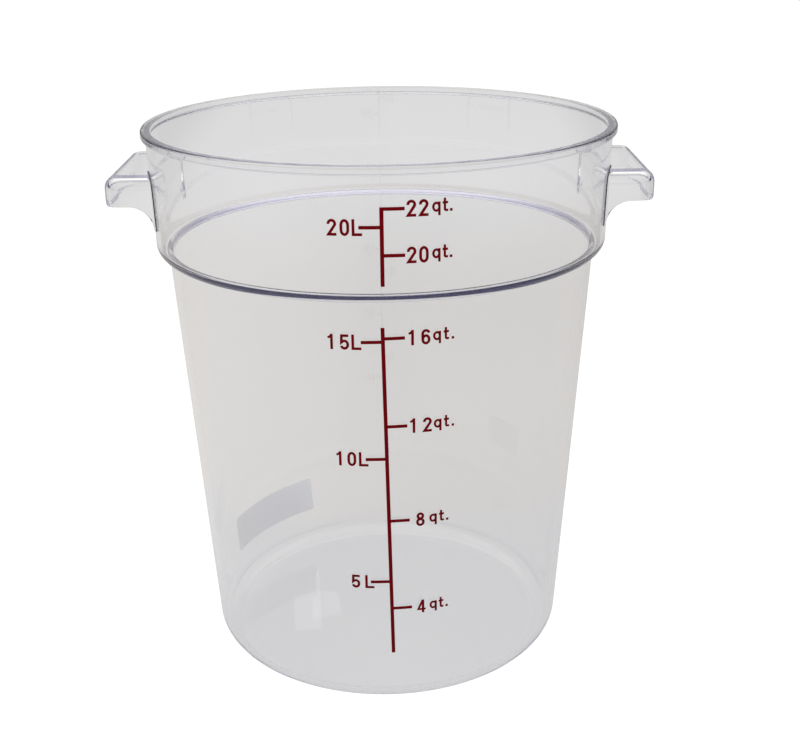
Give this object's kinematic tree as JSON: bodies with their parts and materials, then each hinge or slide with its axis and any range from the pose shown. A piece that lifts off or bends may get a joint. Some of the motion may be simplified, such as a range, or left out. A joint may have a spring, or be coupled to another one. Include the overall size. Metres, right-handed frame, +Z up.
{
  "type": "dough proofing container",
  "caption": "Clear round tapered tub with a stepped collar, beaded rim, hollow side handles, a printed volume scale and a plain rear label.",
  "frame": {"origin": "middle of the underside, on the tub's axis, at the height of the ring that it stands on", "axes": "+Z up along the tub's axis; the handles point along +X and -X; the printed scale faces -Y"},
  "size_m": [0.363, 0.3206, 0.38],
  "materials": {
    "clear_plastic": "clear moulded polycarbonate, glossy inside and out",
    "red_ink": "dark red screen-printed ink film",
    "label_stock": "plain pale adhesive label"
  },
  "bodies": {
    "root": {"tub": "clear_plastic", "handle_left": "clear_plastic", "handle_right": "clear_plastic", "collar_scale_bar": "red_ink", "collar_quart_marks": "red_ink", "collar_litre_marks": "red_ink", "wall_scale_bar": "red_ink", "wall_quart_marks": "red_ink", "wall_litre_marks": "red_ink", "rear_label": "label_stock"}
  },
  "joints": []
}
